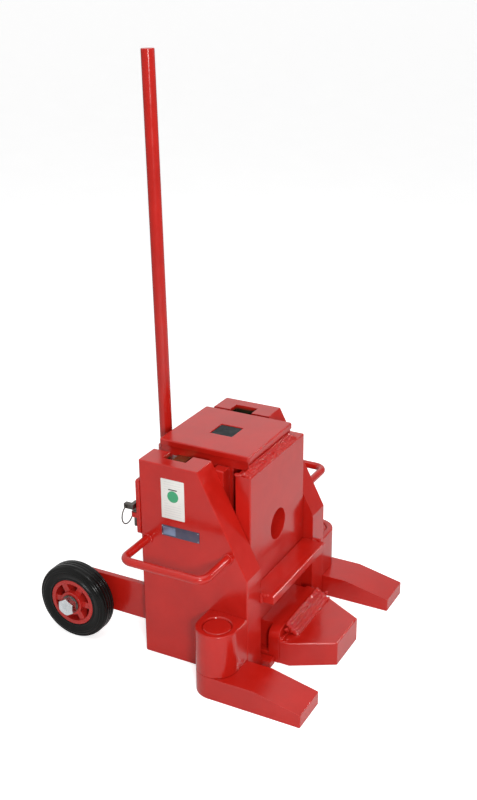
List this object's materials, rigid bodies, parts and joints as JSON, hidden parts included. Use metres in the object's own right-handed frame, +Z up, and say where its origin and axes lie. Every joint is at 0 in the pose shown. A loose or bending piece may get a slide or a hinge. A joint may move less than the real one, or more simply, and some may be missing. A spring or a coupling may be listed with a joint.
{
  "type": "hydraulic toe jack",
  "caption": "Hydraulic toe jack with a lifting head and low toe, swivel support feet, side handles, transport wheels and a hand pump worked by a long pole.",
  "frame": {"origin": "on the floor, at the middle of the housing's footprint (mount base_underside)", "axes": "+Z up, -Y towards the toe, +Y towards the wheels, -X towards the side with the labels"},
  "size_m": [0.694, 0.775, 1.4411],
  "materials": {
    "red_paint": "glossy",
    "pole_steel": "glossy",
    "machined_steel": "satin",
    "chromed_steel": "polished",
    "zinc_plate": "satin",
    "yellow_zinc": "satin",
    "black_knob": "satin",
    "tyre_rubber": "satin",
    "pad_rubber": "matt",
    "seal_rubber": "matt",
    "bush_bronze": "satin"
  },
  "bodies": {
    "housing": {"cheek_left": "red_paint", "cheek_right": "red_paint", "base_plate": "red_paint", "rear_wall": "red_paint", "guide_bars": "red_paint", "keeper_bar": "red_paint", "front_sills": "red_paint", "pivot_bosses": "red_paint", "lifting_handle_left": "red_paint", "lifting_handle_right": "red_paint", "cylinder": "machined_steel", "cylinder_gland": "machined_steel", "wiper_seal": "seal_rubber", "oil_tank": "red_paint", "filler_plug": "zinc_plate", "pressure_pipe": "machined_steel", "pump_body": "red_paint", "pump_gland": "machined_steel", "yoke_plate": "red_paint", "yoke_bolts": "zinc_plate", "lever_bracket": "red_paint", "pivot_pin": "machined_steel", "wheel_arms": "red_paint", "axle_bolts": "zinc_plate", "axle_washers": "zinc_plate", "axle_spacers": "zinc_plate", "axle_nuts": "zinc_plate", "spring_anchors": "zinc_plate", "return_spring_left": "zinc_plate", "return_spring_right": "zinc_plate", "linch_lug": "red_paint", "linch_pin": "zinc_plate"},
    "carriage": {"head_plate": "red_paint", "head_pad": "pad_rubber", "head_block": "red_paint", "front_plate": "red_paint", "carriage_neck": "red_paint", "carriage_channel": "red_paint", "guide_shoes": "red_paint", "spring_hooks": "yellow_zinc", "toe_root": "red_paint", "toe": "red_paint", "ram": "chromed_steel", "piston_seal": "seal_rubber"},
    "foot_arm_left": {"foot_left": "red_paint", "foot_pin_left": "red_paint"},
    "foot_arm_right": {"foot_right": "red_paint", "foot_pin_right": "red_paint"},
    "wheel_left": {"wheel_rim_left": "red_paint", "wheel_tyre_left": "tyre_rubber", "wheel_bush_left": "bush_bronze"},
    "wheel_right": {"wheel_rim_right": "red_paint", "wheel_tyre_right": "tyre_rubber", "wheel_bush_right": "bush_bronze"},
    "lever": {"pump_lever": "red_paint", "pole": "pole_steel"},
    "plunger": {"pump_plunger": "machined_steel", "plunger_pin": "machined_steel"},
    "release_valve": {"release_screw": "black_knob"},
    "pull_ring": {"linch_ring": "zinc_plate"}
  },
  "joints": [
    {"name": "lift", "type": "slide", "parent": "housing", "child": "carriage", "axis": [0, 0, 1], "range_m": [0, 0.085], "stiffness_N_per_m": 4000, "springref_m": -0.05, "deforming": ["return_spring_left", "return_spring_right"]},
    {"name": "foot_swing_left", "type": "hinge", "parent": "housing", "child": "foot_arm_left", "pos_m": [-0.275, -0.0925, 0], "axis": [0, 0, 1], "range_deg": [-90, 0]},
    {"name": "foot_swing_right", "type": "hinge", "parent": "housing", "child": "foot_arm_right", "pos_m": [0.275, -0.0925, 0], "axis": [0, 0, 1], "range_deg": [0, 90]},
    {"name": "wheel_spin_left", "type": "hinge", "parent": "housing", "child": "wheel_left", "pos_m": [-0.23, 0.342, 0.1], "axis": [1, 0, 0], "continuous": true},
    {"name": "wheel_spin_right", "type": "hinge", "parent": "housing", "child": "wheel_right", "pos_m": [0.23, 0.342, 0.1], "axis": [1, 0, 0], "continuous": true},
    {"name": "pump_swing", "type": "hinge", "parent": "housing", "child": "lever", "pos_m": [0, 0.17, 0.352], "axis": [-1, 0, 0], "range_deg": [0, 35]},
    {"name": "plunger_slide", "type": "slide", "parent": "housing", "child": "plunger", "axis": [0, 0, -1], "range_m": [0, 0.024]},
    {"name": "release_turn", "type": "hinge", "parent": "housing", "child": "release_valve", "pos_m": [-0.034, 0.178, 0.186], "axis": [-1, 0, 0], "range_deg": [0, 360]},
    {"name": "ring_swing", "type": "hinge", "parent": "housing", "child": "pull_ring", "pos_m": [-0.226, 0.1776, 0.404], "axis": [1, 0, 0], "range_deg": [-4, 90]}
  ],
  "couplings": [
    {"joint": "plunger_slide", "follows": "pump_swing", "m_per_rad": 0.0385}
  ]
}
